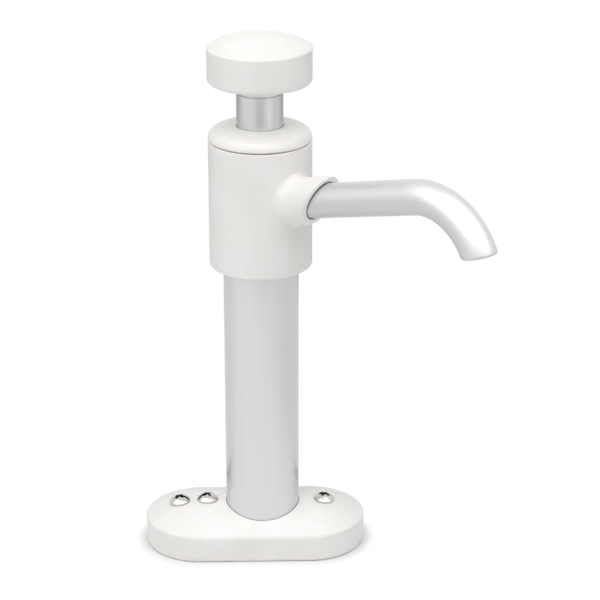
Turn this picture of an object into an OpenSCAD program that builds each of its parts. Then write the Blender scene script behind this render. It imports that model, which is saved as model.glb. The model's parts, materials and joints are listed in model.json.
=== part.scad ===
// Hand pump for a galley sink: a crowned base, an upright cylinder, a head that swivels with its
// spout, and a plunger with a palm knob. The origin is on the pump's axis at the underside of the
// base, +Z is up and the base's long end lies along -X.

/* [Base] */
// Width of the base across its straight sides
base_w = 48.2; // [46:0.2:58]
// Distance from the pump's axis to the long end of the base
base_long = 51.2; // [48:0.2:64]
// Distance from the pump's axis to the short end of the base
base_short = 44.6; // [42:0.2:58]
// Height of the base on its centre line
base_h = 18.6; // [17:0.2:24]
// How far the crowned top rises from the sides to the centre line
base_rise = 6.4; // [2:0.2:7]
// Radius of the rolled edge round the top
base_edge_r = 2.6; // [1:0.2:4]
// Height of the ledge that the cylinder stands on
ledge_h = 6; // [5:0.5:9]

/* [Mounting screws] */
// Distance from the long end of the base to the outer screw
long_inset = 14.8; // [13:0.2:17]
// Distance between the two screws at the long end
screw_pitch = 12.2; // [11.4:0.2:13]
// Distance from the short end of the base to its screw
short_inset = 17.5; // [14:0.2:19.5]
// Diameter of a screw's head
screw_head_d = 9; // [7:0.2:10]
// Height of a screw's head
screw_head_h = 2.5; // [2.2:0.1:3.5]
// Height of the straight rim of a screw's head
screw_rim_h = 0.6; // [0.4:0.1:1]
// Diameter of a screw's shank
screw_d = 4.8; // [3.5:0.1:5]
// Length of a screw's point
screw_point_l = 4; // [2:0.5:6]
// Length of a screw under its head
screw_l = 15; // [12:0.5:20]
// Span of the cross recess in a screw's head
recess_span = 4.6; // [3:0.1:5]
// Width of the cross recess
recess_w = 1.1; // [0.8:0.1:1.4]
// Depth of the cross recess
recess_depth = 1.3; // [0.6:0.1:1.6]

/* [Cylinder] */
// Outside diameter of the cylinder tube
tube_od = 31.75; // [30:0.05:33]
// Wall of the cylinder tube
tube_wall = 1.6; // [1.2:0.1:2]
// Length of the cylinder tube
tube_l = 142.5; // [120:0.5:200]

/* [Inlet and foot valve] */
// Diameter of the flange under the inlet bush
flange_d = 36; // [34:0.5:40]
// Thickness of the flange under the inlet bush
flange_h = 3.4; // [2:0.1:4]
// Diameter of the inlet socket, the core of a 3/8 inch pipe thread
inlet_d = 15; // [12:0.1:16]
// Depth of the inlet socket
inlet_depth = 12; // [9:0.5:16]
// Diameter of the hole through the foot valve's seat
seat_hole_d = 11.5; // [8:0.5:13]
// Thickness of the foot valve's seat
seat_h = 3; // [2:0.5:5]
// Diameter of the foot valve's disc
foot_disc_d = 20; // [17:0.5:20.5]
// Thickness of the foot valve's disc
foot_disc_h = 2; // [1.5:0.1:3]
// Room round the foot valve's disc
foot_room = 1; // [0.5:0.1:1.4]
// How far the foot valve's disc lifts
foot_lift = 3.5; // [2:0.1:5]
// Thickness of the foot valve's cage
cage_h = 2.6; // [2:0.1:4]
// Width of the cage's bars
cage_bar_w = 3; // [2:0.1:4]
// Width of the ledge that the cage sits on, and of its ring
cage_ledge = 1.2; // [0.8:0.1:1.4]
// Thickness of the inlet seal's section
inlet_seal_d = 1.6; // [1.2:0.1:2]
// Height of the inlet seal above the cylinder's foot
inlet_seal_h = 4; // [3:0.5:5]

/* [Head] */
// Diameter of the head
head_d = 43.2; // [42:0.2:48]
// Height of the head without its cap
head_h = 54.4; // [52:0.2:62]
// How far the cylinder reaches up into the head
head_grip = 18.25; // [17:0.25:19]
// Rounding of the head's lower and upper edges
head_edge_r = 0.7; // [0.4:0.1:1]
// Diameter of the chamber above the cylinder
chamber_d = 25; // [24:0.2:26]
// Thickness of the head seals' section
head_seal_d = 1.6; // [1.2:0.1:2]
// Height of the lower head seal above the head's edge
low_seal_h = 4.5; // [3:0.5:5]
// Height of the retaining clip above the head's edge
clip_h = 9; // [8.5:0.25:10]
// Height of the upper head seal above the head's edge
high_seal_h = 13.5; // [13:0.25:15]
// Thickness of the retaining clip's wire
clip_wire_d = 1.2; // [1:0.1:1.4]
// Angle of the gap in the retaining clip
clip_gap_angle = 25; // [15:1:40]

/* [Cap and gland] */
// Height of the cap on the pump's axis, above the seam
cap_h = 7.1; // [6.6:0.1:9]
// How far the cap's top rises from its side to the axis
cap_rise = 3.3; // [1:0.1:3.6]
// Radius of the cap's shoulder
cap_edge_r = 4; // [2:0.1:5]
// Height of the seam between the head and the cap
seam_h = 0.6; // [0.3:0.1:1]
// Diameter of the cap's threaded spigot
spigot_d = 34; // [32:0.2:35]
// Length of the cap's threaded spigot
spigot_l = 6.8; // [5:0.1:8]
// Thickness of the cap seal's section
cap_seal_d = 1.6; // [1.2:0.1:1.9]
// Gap round the plunger where it leaves the cap
cap_hole_gap = 0.35; // [0.2:0.05:0.6]
// Diameter of the wiper ring
wiper_d = 24; // [22:0.2:25]
// Height of the wiper ring
wiper_h = 2.4; // [1.5:0.1:3]
// Thickness of the cap over the wiper ring
wiper_roof = 2.6; // [2:0.1:3.4]
// Diameter of the plunger's guide bush
guide_d = 27; // [26.4:0.2:29]
// Height of the plunger's guide bush
guide_h = 6; // [4:0.2:6.6]
// Room for the plunger seal between its guide and the cap
seal_room_h = 3.9; // [3.8:0.1:5]

/* [Spout] */
// Direction of the spout in plan, from +X
spout_angle = -47; // [-180:1:180]
// Rise of the spout from the horizontal
spout_rise = 15.6; // [8:0.1:18]
// Height above the head's edge where the spout's axis meets the pump's
spout_h = 26.5; // [25.5:0.05:27]
// Outside diameter of the spout
spout_od = 14.2; // [12:0.1:14.6]
// Wall of the spout
spout_wall = 1.2; // [0.8:0.1:2]
// Diameter of the boss that holds the spout
boss_d = 19.5; // [19:0.1:22]
// Length of the boss from the head's side to the middle of its end
boss_l = 15.2; // [14:0.1:24]
// Slant of the boss's end, with its top further out
boss_slant = 38.4; // [0:0.2:40]
// How much wider the boss is at its root
boss_flare = 2; // [1:0.1:4]
// How far the spout reaches into the boss
spout_grip = 15; // [13:0.1:15.5]
// Length of the spout from the boss to its bend
spout_run = 52.7; // [40:0.1:90]
// Radius of the spout's bend
spout_bend_r = 29.2; // [24:0.1:50]
// Angle of the spout's bend
spout_bend = 79.7; // [40:0.1:90]
// Slant of the spout's mouth, with its outer side longer
spout_cut = 9; // [0:0.5:20]
// Thickness of the spout seal's section
spout_seal_d = 1.5; // [1.2:0.1:1.8]

/* [Plunger] */
// Outside diameter of the plunger tube
plunger_od = 19.4; // [18.6:0.1:19.8]
// Wall of the plunger tube
plunger_wall = 1.5; // [1.2:0.1:2]
// Height of the knob's collar above the cap, as the plunger rests
rest_gap = 14.6; // [2:0.2:40]
// Length of the plugs in the ends of the plunger tube
plug_l = 14; // [12:0.5:20]

/* [Knob] */
// Diameter of the knob
knob_d = 43.3; // [36:0.1:56]
// Height of the knob without its collar
knob_h = 19.9; // [18:0.1:24]
// How far the knob's top rises from its side to the axis
knob_rise = 5.2; // [0.6:0.1:6]
// Radius of the knob's upper edge
knob_edge_r = 0.8; // [0.6:0.1:2]
// Radius of the knob's lower edge
knob_foot_r = 1.9; // [0.6:0.1:3]
// Diameter of the knob's collar
collar_d = 21; // [20.8:0.1:24]
// Height of the knob's collar
collar_h = 3.6; // [2:0.1:6]
// How far the plunger tube reaches up into the knob and its collar
knob_grip = 7.4; // [6.4:0.1:7.8]
// Diameter of the knob's threaded insert
insert_d = 10; // [9:0.2:14]
// Height of the knob's threaded insert
insert_h = 8; // [6:0.2:9]
// Diameter of the knob's stud
stud_d = 6; // [5:0.5:8]
// How far the stud reaches into the upper plug
stud_grip = 9; // [6:0.5:10]
// Depth of the stud's holes past its ends
stud_room = 0.8; // [0.4:0.1:1.5]

/* [Piston] */
// Height of the piston
piston_h = 14; // [11:0.2:18]
// Room between the piston and the cylinder
piston_gap = 0.25; // [0.15:0.05:0.4]
// Height of the piston ring
ring_h = 3; // [2:0.1:4]
// Depth of the piston ring's groove
ring_depth = 1.5; // [1:0.1:1.7]
// Height of the piston ring above the piston's foot
ring_z = 5.5; // [3:0.1:7]
// Number of ports through the piston
port_count = 12; // [8:1:14]
// Diameter of a port
port_d = 1.9; // [1.2:0.1:2]
// Thickness of the piston valve
valve_h = 1.2; // [0.8:0.1:2]
// Room between the plunger and the piston valve
valve_gap = 0.3; // [0.2:0.05:0.4]
// How far the piston valve stands in from the cylinder
valve_inset = 1.1; // [0.6:0.1:1.5]
// How far the piston valve lifts
valve_lift = 2.5; // [1.5:0.1:4]
// Diameter of the stop ring above the piston valve
stop_d = 23.6; // [22.4:0.1:24]
// Thickness of the stop ring
stop_h = 1.2; // [0.8:0.1:1.6]
// Depth of the stop ring's groove in the plunger tube
stop_groove = 0.5; // [0.3:0.05:0.8]
// Width of the gap in the stop ring
stop_split = 3; // [2:0.2:6]
// Diameter of the washer under the piston
washer_d = 17; // [14:0.5:18.5]
// Thickness of the washer
washer_h = 1.2; // [0.8:0.1:2]
// Diameter of the piston screw
piston_screw_d = 5; // [4:0.5:6]
// Diameter of the piston screw's head
piston_head_d = 9.5; // [8.5:0.1:11]
// Height of the piston screw's head
piston_head_h = 3.5; // [3:0.1:4]
// Width across the flats of the piston screw's socket
piston_key = 4; // [3:0.1:5]
// Depth of the piston screw's socket
piston_key_depth = 2; // [1:0.1:2.4]
// How far the piston screw reaches into the lower plug
piston_screw_grip = 9; // [6:0.5:10]
// Room under the piston screw at the bottom of the stroke
stroke_room = 3; // [1:0.2:10]

/* [Fits] */
// Gap between pieces that are pressed, bonded or screwed together
fit_gap = 0.05; // [0.02:0.01:0.08]
// Gap round pieces that turn or slide on each other
run_gap = 0.05; // [0.02:0.01:0.08]
// Gap between a seal and what it moves on
seal_gap = 0.1; // [0.05:0.01:0.15]
// Room between the cylinder's upper end and the head's shoulder
swivel_gap = 0.2; // [0.1:0.05:0.4]
// Room round a screw's shank and round the inlet flange
hole_gap = 0.2; // [0.1:0.05:0.3]

/* [Hidden] */
$fn = 128;
// Colours of the pieces as they look
white_plastic = "#f3f2ef";
satin_aluminium = "#d3d5d9";
bright_steel = "#c2c3c5";
grey_acetal = "#dcdcd6";
black_rubber = "#26272a";
yellow_brass = "#c9a552";
// How far a cutter runs past the face that it cuts
past = 1;
// Groove width over a seal's or a wire's section
groove_room = 0.3;

// Base and cylinder
base_r = base_w / 2;
long_x = base_r - base_long;
short_x = base_short - base_r;
tube_r = tube_od / 2;
bore_r = tube_r - tube_wall;
tube_top = ledge_h + tube_l;
outer_screw_x = long_inset - base_long;
screw_places = [outer_screw_x, outer_screw_x + screw_pitch, base_short - short_inset];
screw_sink = base_h - crown_z(base_r, base_h, base_rise, screw_head_d / 2) + fit_gap;

// Inlet and foot valve, from the underside up
bush_r = bore_r - fit_gap;
seat_z = inlet_depth + seat_h;
foot_chamber_r = foot_disc_d / 2 + foot_room;
cage_room = 0.5;
cage_z = seat_z + foot_disc_h + foot_lift + cage_room;
cage_r = foot_chamber_r + cage_ledge;
bush_top = cage_z + cage_h;
inlet_seal_z = ledge_h + inlet_seal_h;

// Head, cap and gland
head_r = head_d / 2;
head_bottom = tube_top - head_grip;
head_top = head_bottom + head_h;
shoulder_z = tube_top + swivel_gap;
socket_r = tube_r + run_gap;
clip_z = head_bottom + clip_h;
head_seal_places = [head_bottom + low_seal_h, head_bottom + high_seal_h];
cap_bottom = head_top + seam_h;
cap_top = head_top + cap_h;
spigot_r = spigot_d / 2;
spigot_z = head_top - spigot_l;
gland_z = spigot_z - fit_gap;
guide_r = guide_d / 2;
guide_top = gland_z - seal_room_h;
guide_z = guide_top - guide_h;
plunger_r = plunger_od / 2;
cap_hole_r = plunger_r + cap_hole_gap;
cap_seal_r = spigot_r + fit_gap + groove_room / 2 + cap_seal_d / 2;
cap_seal_z = head_top - cap_seal_d / 2 - fit_gap;
seal_space = guide_r - plunger_r;
plunger_seal_d = seal_space - 2 * seal_gap;

// Spout, along its axis from the pump's axis
spout_z = head_bottom + spout_h;
boss_r = boss_d / 2;
boss_end = head_r / cos(spout_rise) + boss_l;
spout_in = boss_end - spout_grip;
spout_r = spout_od / 2;
spout_bend_at = boss_end + spout_run;
spout_seal_s = spout_in + spout_seal_d + groove_room;

// Knob and plunger, from the cap up, then the piston from the foot valve up
cap_lip_z = crown_z(head_r, cap_top, cap_rise, cap_hole_r);
wiper_z = cap_lip_z - wiper_roof - wiper_h;
collar_z = cap_lip_z + rest_gap;
knob_z = collar_z + collar_h;
knob_top = knob_z + knob_h;
plunger_top = collar_z + knob_grip;
plunger_bore_r = plunger_r - plunger_wall;
plug_r = plunger_bore_r - fit_gap;
stud_r = stud_d / 2;
screw_bottom = bush_top + stroke_room + rest_gap;
washer_z = screw_bottom + piston_head_h;
piston_z = washer_z + washer_h;
piston_top = piston_z + piston_h;
piston_r = bore_r - piston_gap;
groove_r = piston_r - ring_depth;
valve_in_r = plunger_r + valve_gap;
valve_out_r = bore_r - valve_inset;
port_r = plunger_r + port_d / 2 + valve_gap;
stop_z = piston_top + valve_h + valve_lift + run_gap;

// Radius of an arched top that rises by rise over half a width w
function crown_radius(w, rise) = (w * w + rise * rise) / (2 * rise);

// Height of an arched top at a distance x from its middle
function crown_z(w, top, rise, x) =
    let (r = crown_radius(w, rise))
    top - r + sqrt(r * r - x * x);

// Height of the base's top at x on its centre line
function base_top_z(x) =
    crown_z(base_r, base_h, base_rise, max(0, long_x - x, x - short_x));

// Slope of the base's top at x on its centre line, where it falls towards the ends
function base_slope(x) =
    let (r = crown_radius(base_r, base_rise))
    x < 0 ? -asin(max(0, long_x - x) / r) : asin(max(0, x - short_x) / r);

// Half outline of a block of half width w from z0 to an arched top, with a rolled edge
module crowned_half(w, z0, top, rise, edge_r) {
    r = crown_radius(w, rise);
    mid_z = top - r;
    edge_x = w - edge_r;
    edge_z = mid_z + sqrt(pow(r - edge_r, 2) - edge_x * edge_x);
    over_z = top + edge_r;
    over_x = edge_x + (over_z - edge_z) * edge_x / (edge_z - mid_z);
    intersection() {
        translate([0, z0])
            square([w, top - z0]);
        union() {
            difference() {
                translate([0, mid_z])
                    circle(r);
                polygon([[edge_x, edge_z], [w + edge_r, edge_z], [w + edge_r, over_z], [over_x, over_z]]);
            }
            translate([edge_x, edge_z])
                circle(edge_r);
        }
    }
}

// Rolls the lower outer corner of an outline of half width w that starts at z0
module rolled_foot(w, z0, edge_r) {
    difference() {
        children();
        translate([w - edge_r, z0 - edge_r])
            square([2 * edge_r, 2 * edge_r]);
    }
    translate([w - edge_r, z0 + edge_r])
        circle(edge_r);
}

// Ring with a round section, centred on the pump's axis
module round_ring(mid_r, z, section_d, angle = 360) {
    translate([0, 0, z])
        rotate_extrude(angle = angle)
            translate([mid_r, 0])
                circle(d = section_d, $fn = 48);
}

// Ring with a square section
module flat_ring(in_r, out_r, z, h) {
    translate([0, 0, z])
        difference() {
            cylinder(h = h, r = out_r);
            translate([0, 0, -past])
                cylinder(h = h + 2 * past, r = in_r);
        }
}

// Groove of width h about the pump's axis, centred on z
module groove(in_r, out_r, z, h) {
    flat_ring(in_r, out_r, z - h / 2, h);
}

// Turns its children so that +Z runs along the spout, from the point where the two axes meet
module along_spout() {
    rotate([0, 0, spout_angle])
        translate([0, 0, spout_z])
            rotate([0, 90 - spout_rise, 0])
                children();
}

// Section of the spout
module spout_section() {
    difference() {
        circle(spout_r);
        circle(spout_r - spout_wall);
    }
}

module base_block() {
    translate([long_x, 0, 0])
        rotate([0, 0, 90])
            rotate_extrude(angle = 180)
                crowned_half(base_r, 0, base_h, base_rise, base_edge_r);
    translate([short_x, 0, 0])
        rotate([0, 0, -90])
            rotate_extrude(angle = 180)
                crowned_half(base_r, 0, base_h, base_rise, base_edge_r);
    translate([long_x, 0, 0])
        rotate([90, 0, 90])
            linear_extrude(short_x - long_x) {
                crowned_half(base_r, 0, base_h, base_rise, base_edge_r);
                mirror([1, 0])
                    crowned_half(base_r, 0, base_h, base_rise, base_edge_r);
            }
}

module base_flange() {
    color(white_plastic)
        difference() {
            base_block();
            translate([0, 0, ledge_h])
                cylinder(h = base_h, r = tube_r + fit_gap);
            translate([0, 0, -past])
                cylinder(h = ledge_h + 2 * past, r = bore_r);
            translate([0, 0, -past])
                cylinder(h = flange_h + past, d = flange_d + 2 * hole_gap);
            at_screws() {
                translate([0, 0, -2 * base_h])
                    cylinder(h = 2 * base_h, d = screw_d + 2 * hole_gap);
                cylinder(h = base_h, d = screw_head_d + 2 * hole_gap);
            }
        }
}

// Puts its children on the seat of each screw, square to the base's top
module at_screws() {
    for (x = screw_places)
        translate([x, 0, base_top_z(x)])
            rotate([0, base_slope(x), 0])
                translate([0, 0, -screw_sink])
                    children();
}

module mounting_screw() {
    dome_rise = screw_head_h - screw_rim_h;
    difference() {
        union() {
            rotate_extrude()
                crowned_half(screw_head_d / 2, 0, screw_head_h, dome_rise, screw_rim_h / 2);
            translate([0, 0, screw_point_l - screw_l])
                cylinder(h = screw_l - screw_point_l + screw_rim_h, d = screw_d);
            translate([0, 0, -screw_l])
                cylinder(h = screw_point_l, d1 = screw_d / 4, d2 = screw_d);
        }
        translate([0, 0, screw_head_h + past - recess_depth / 2])
            for (turn = [0, 90])
                rotate([0, 0, turn])
                    cube([recess_span, recess_w, recess_depth + 2 * past], center = true);
    }
}

module mounting_screws() {
    color(bright_steel)
        at_screws()
            mounting_screw();
}

module cylinder_tube() {
    color(satin_aluminium)
        difference() {
            flat_ring(bore_r, tube_r, ledge_h, tube_l);
            round_ring(tube_r, clip_z, clip_wire_d + 2 * fit_gap);
        }
}

module inlet_bush() {
    color(grey_acetal)
        difference() {
            union() {
                cylinder(h = flange_h, d = flange_d);
                cylinder(h = bush_top, r = bush_r);
            }
            translate([0, 0, -past])
                cylinder(h = inlet_depth + past, d = inlet_d);
            cylinder(h = bush_top, d = seat_hole_d);
            translate([0, 0, seat_z])
                cylinder(h = bush_top, r = foot_chamber_r);
            translate([0, 0, cage_z])
                cylinder(h = cage_h + past, r = cage_r);
            groove(bush_r - inlet_seal_d, bush_r + past, inlet_seal_z, inlet_seal_d + groove_room);
        }
}

module inlet_seal() {
    color(black_rubber)
        round_ring(bush_r - inlet_seal_d / 2, inlet_seal_z, inlet_seal_d - fit_gap);
}

module foot_valve_cage() {
    out_r = cage_r - fit_gap;
    in_r = foot_chamber_r - cage_ledge;
    color(grey_acetal)
        translate([0, 0, cage_z])
            union() {
                flat_ring(in_r, out_r, 0, cage_h);
                for (turn = [0, 90])
                    rotate([0, 0, turn])
                        translate([-in_r - cage_ledge, -cage_bar_w / 2, 0])
                            cube([2 * (in_r + cage_ledge), cage_bar_w, cage_h]);
            }
}

module foot_valve_disc() {
    color(black_rubber)
        translate([0, 0, seat_z])
            cylinder(h = foot_disc_h, d = foot_disc_d);
}

module head_clip() {
    color(bright_steel)
        round_ring(tube_r, clip_z, clip_wire_d, 360 - clip_gap_angle);
}

// Boss for the spout, wider at its root, with a slanted end
module spout_boss() {
    reach = 2 * boss_end;
    along_spout()
        difference() {
            union() {
                cylinder(h = reach, r = boss_r);
                translate([0, 0, spout_in - boss_flare])
                    cylinder(h = 3 * boss_flare, r1 = boss_r + boss_flare, r2 = boss_r);
            }
            translate([0, 0, boss_end])
                rotate([0, boss_slant, 0])
                    translate([-reach, -reach, 0])
                        cube(2 * reach);
        }
}

module pump_head() {
    port_in_r = spout_r - spout_wall;
    clip_room = clip_wire_d + 2 * groove_room;
    color(white_plastic)
        difference() {
            union() {
                rotate_extrude()
                    head_outline();
                difference() {
                    spout_boss();
                    translate([0, 0, head_bottom])
                        cylinder(h = head_h, r = chamber_d / 2);
                }
            }
            translate([0, 0, head_bottom - past])
                cylinder(h = shoulder_z - head_bottom + past, r = socket_r);
            translate([0, 0, head_bottom])
                cylinder(h = head_h, d = chamber_d);
            translate([0, 0, guide_z])
                cylinder(h = head_h, r = guide_r);
            translate([0, 0, gland_z])
                cylinder(h = head_h, r = spigot_r + fit_gap);
            translate([0, 0, cap_seal_z - cap_seal_d / 2 - fit_gap])
                cylinder(h = head_h, r = cap_seal_r + cap_seal_d / 2 + groove_room / 2);
            for (z = head_seal_places)
                groove(tube_r, socket_r + head_seal_d, z, head_seal_d + groove_room);
            groove(tube_r, tube_r + clip_room / 2, clip_z, clip_room);
            along_spout() {
                cylinder(h = boss_end, r = port_in_r);
                translate([0, 0, spout_in])
                    cylinder(h = 2 * boss_end, r = spout_r + fit_gap);
                groove(spout_r, spout_r + fit_gap + spout_seal_d, spout_seal_s, spout_seal_d + groove_room);
            }
        }
}

// Half outline of the head's barrel, with both edges rounded
module head_outline() {
    rolled_foot(head_r, head_bottom, head_edge_r)
        difference() {
            translate([0, head_bottom])
                square([head_r, head_h]);
            translate([head_r - head_edge_r, head_top - head_edge_r])
                square(2 * head_edge_r);
        }
    translate([head_r - head_edge_r, head_top - head_edge_r])
        circle(head_edge_r);
}

module head_seals() {
    section_d = head_seal_d - seal_gap;
    color(black_rubber)
        for (z = head_seal_places)
            round_ring(tube_r + seal_gap + section_d / 2, z, section_d);
}

module gland_cap() {
    color(white_plastic)
        difference() {
            union() {
                rotate_extrude()
                    crowned_half(head_r, cap_bottom, cap_top, cap_rise, cap_edge_r);
                translate([0, 0, spigot_z])
                    cylinder(h = cap_bottom - spigot_z + past, r = spigot_r);
            }
            translate([0, 0, spigot_z - past])
                cylinder(h = cap_top, r = cap_hole_r);
            translate([0, 0, spigot_z - past])
                cylinder(h = wiper_z + wiper_h + fit_gap - spigot_z + past, d = wiper_d);
        }
}

module cap_seal() {
    color(black_rubber)
        round_ring(cap_seal_r, cap_seal_z, cap_seal_d);
}

module plunger_guide() {
    color(grey_acetal)
        flat_ring(plunger_r + run_gap, guide_r - fit_gap, guide_z, guide_h);
}

module plunger_seal() {
    color(black_rubber)
        round_ring(plunger_r + seal_gap + plunger_seal_d / 2, guide_top + plunger_seal_d / 2, plunger_seal_d);
}

module wiper_ring() {
    color(black_rubber)
        flat_ring(plunger_r + seal_gap, wiper_d / 2 - fit_gap, wiper_z, wiper_h);
}

// What lies past the spout's slanted mouth
module past_mouth() {
    translate([spout_bend_r, 0, spout_bend_at])
        rotate([0, spout_bend, 0])
            translate([-spout_bend_r, 0, 0])
                rotate([0, spout_cut, 0])
                    translate([-spout_od, -spout_od, 0])
                        cube(2 * spout_od);
}

module spout_tube() {
    color(satin_aluminium)
        along_spout()
            difference() {
                union() {
                    translate([0, 0, spout_in])
                        linear_extrude(spout_bend_at - spout_in)
                            spout_section();
                    translate([spout_bend_r, 0, spout_bend_at])
                        rotate([90, 0, 180])
                            rotate_extrude(angle = spout_bend + spout_cut)
                                translate([spout_bend_r, 0])
                                    spout_section();
                }
                past_mouth();
            }
}

module spout_seal() {
    color(black_rubber)
        along_spout()
            round_ring(spout_r + fit_gap + spout_seal_d / 2, spout_seal_s, spout_seal_d - fit_gap);
}

module plunger_tube() {
    color(satin_aluminium)
        difference() {
            flat_ring(plunger_bore_r, plunger_r, piston_top, plunger_top - piston_top);
            groove(plunger_r - stop_groove, plunger_r + past, stop_z + stop_h / 2, stop_h + fit_gap);
        }
}

module lower_plug() {
    color(grey_acetal)
        translate([0, 0, piston_top])
            difference() {
                cylinder(h = plug_l, r = plug_r);
                translate([0, 0, -past])
                    cylinder(h = piston_screw_grip + stud_room + past, d = piston_screw_d + 2 * fit_gap);
            }
}

module upper_plug() {
    color(grey_acetal)
        translate([0, 0, plunger_top - plug_l])
            difference() {
                cylinder(h = plug_l, r = plug_r);
                translate([0, 0, plug_l - stud_grip - stud_room])
                    cylinder(h = plug_l, r = stud_r + fit_gap);
            }
}

module knob() {
    knob_r = knob_d / 2;
    color(white_plastic)
        difference() {
            union() {
                rotate_extrude()
                    rolled_foot(knob_r, knob_z, knob_foot_r)
                        crowned_half(knob_r, knob_z, knob_top, knob_rise, knob_edge_r);
                translate([0, 0, collar_z])
                    cylinder(h = collar_h + past, d = collar_d);
            }
            translate([0, 0, collar_z - past])
                cylinder(h = knob_grip + past, r = plunger_r + fit_gap);
            translate([0, 0, collar_z])
                cylinder(h = knob_grip + insert_h, d = insert_d + 2 * fit_gap);
        }
}

module knob_insert() {
    color(yellow_brass)
        flat_ring(stud_r + fit_gap, insert_d / 2, plunger_top, insert_h);
}

module knob_stud() {
    color(bright_steel)
        translate([0, 0, plunger_top - stud_grip])
            cylinder(h = stud_grip + insert_h - stud_room, r = stud_r);
}

module piston() {
    color(grey_acetal)
        translate([0, 0, piston_z])
            difference() {
                cylinder(h = piston_h, r = piston_r);
                translate([0, 0, -past])
                    cylinder(h = piston_h + 2 * past, d = piston_screw_d + 2 * fit_gap);
                groove(groove_r, piston_r + past, ring_z + ring_h / 2, ring_h + fit_gap);
                for (i = [0 : port_count - 1])
                    rotate([0, 0, 360 * i / port_count])
                        translate([port_r, 0, -past])
                            cylinder(h = piston_h + 2 * past, d = port_d, $fn = 32);
            }
}

module piston_ring() {
    color(black_rubber)
        flat_ring(groove_r + fit_gap, bore_r - seal_gap, piston_z + ring_z, ring_h);
}

module piston_valve() {
    color(black_rubber)
        flat_ring(valve_in_r, valve_out_r, piston_top, valve_h);
}

module valve_stop() {
    color(bright_steel)
        difference() {
            flat_ring(plunger_r - stop_groove + fit_gap, stop_d / 2, stop_z, stop_h);
            translate([0, -stop_split / 2, stop_z - past])
                cube([stop_d, stop_split, stop_h + 2 * past]);
        }
}

module piston_washer() {
    color(bright_steel)
        flat_ring(piston_screw_d / 2 + fit_gap, washer_d / 2, washer_z, washer_h);
}

module piston_screw() {
    color(bright_steel)
        difference() {
            union() {
                translate([0, 0, screw_bottom])
                    cylinder(h = piston_head_h, d = piston_head_d);
                translate([0, 0, washer_z])
                    cylinder(h = washer_h + piston_h + piston_screw_grip, d = piston_screw_d);
            }
            translate([0, 0, screw_bottom - past])
                cylinder(h = piston_key_depth + past, d = piston_key / cos(30), $fn = 6);
        }
}

base_flange();
mounting_screws();
cylinder_tube();
inlet_bush();
inlet_seal();
foot_valve_cage();
foot_valve_disc();
head_clip();
pump_head();
head_seals();
gland_cap();
cap_seal();
plunger_guide();
plunger_seal();
wiper_ring();
spout_tube();
spout_seal();
plunger_tube();
lower_plug();
upper_plug();
knob();
knob_insert();
knob_stud();
piston();
piston_ring();
piston_valve();
valve_stop();
piston_washer();
piston_screw();
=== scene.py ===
import json
import math

import bmesh
import bpy
from mathutils import Matrix, Vector


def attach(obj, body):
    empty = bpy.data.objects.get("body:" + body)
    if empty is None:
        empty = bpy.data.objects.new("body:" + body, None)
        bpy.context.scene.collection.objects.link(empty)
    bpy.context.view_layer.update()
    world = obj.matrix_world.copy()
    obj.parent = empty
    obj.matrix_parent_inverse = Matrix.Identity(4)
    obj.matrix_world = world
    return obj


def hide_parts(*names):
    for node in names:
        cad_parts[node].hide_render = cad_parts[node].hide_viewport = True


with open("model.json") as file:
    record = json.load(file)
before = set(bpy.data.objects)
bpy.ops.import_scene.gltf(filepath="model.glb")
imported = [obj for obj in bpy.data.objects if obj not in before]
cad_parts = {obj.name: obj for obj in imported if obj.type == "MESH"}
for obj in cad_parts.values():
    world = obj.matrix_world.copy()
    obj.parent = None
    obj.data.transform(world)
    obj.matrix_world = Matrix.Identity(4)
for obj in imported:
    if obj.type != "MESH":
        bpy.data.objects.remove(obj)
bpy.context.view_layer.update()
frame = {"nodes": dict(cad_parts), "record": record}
mm = 0.001
weldGap = 0.002     # mm, points closer than this are one
pickSlack = 0.01    # mm, when points are picked by their place
print("frame loaded,", len(frame["nodes"]), "solids")


# small helpers for working in edit mode

def deselectAll():
    bpy.ops.object.select_all(action="DESELECT")


def makeActive(piece):
    deselectAll()
    piece.select_set(True)
    bpy.context.view_layer.objects.active = piece


def openPiece(piece):
    makeActive(piece)
    bpy.ops.object.mode_set(mode="EDIT")
    bpy.ops.mesh.select_mode(type="VERT")


def pickVerts(piece, test):
    bpy.ops.mesh.select_mode(type="VERT")
    bpy.ops.mesh.select_all(action="DESELECT")
    mesh = bmesh.from_edit_mesh(piece.data)
    for vert in mesh.verts:
        vert.select = test(vert.co / mm)
    mesh.select_flush(True)
    bmesh.update_edit_mesh(piece.data)


def pickEdges(piece, test):
    bpy.ops.mesh.select_mode(type="EDGE")
    bpy.ops.mesh.select_all(action="DESELECT")
    mesh = bmesh.from_edit_mesh(piece.data)
    for edge in mesh.edges:
        edge.select = test(edge.verts[0].co / mm, edge.verts[1].co / mm)
    mesh.select_flush_mode()
    bmesh.update_edit_mesh(piece.data)


def smoothPiece(piece, angle):
    makeActive(piece)
    bpy.ops.object.shade_smooth_by_angle(angle=math.radians(angle))


def closePiece(piece, smoothAngle):
    bpy.ops.mesh.select_all(action="SELECT")
    bpy.ops.mesh.remove_doubles(threshold=weldGap * mm)
    bpy.ops.mesh.normals_make_consistent(inside=False)
    bpy.ops.object.mode_set(mode="OBJECT")
    smoothPiece(piece, smoothAngle)


def placePiece(piece, location, turnY, turnZ):
    piece.location = [v * mm for v in location]
    piece.rotation_euler = (0, math.radians(turnY), math.radians(turnZ))
    makeActive(piece)
    bpy.ops.object.transform_apply(location=True, rotation=True, scale=True)


def cutWith(piece, cutter):
    makeActive(piece)
    cut = piece.modifiers.new("cut", "BOOLEAN")
    cut.operation = "DIFFERENCE"
    cut.solver = "EXACT"
    cut.object = cutter
    bpy.ops.object.modifier_apply(modifier="cut")
    bpy.data.objects.remove(cutter)


# outlines are lists of (radius, height, corner rounding) in millimetres

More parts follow.
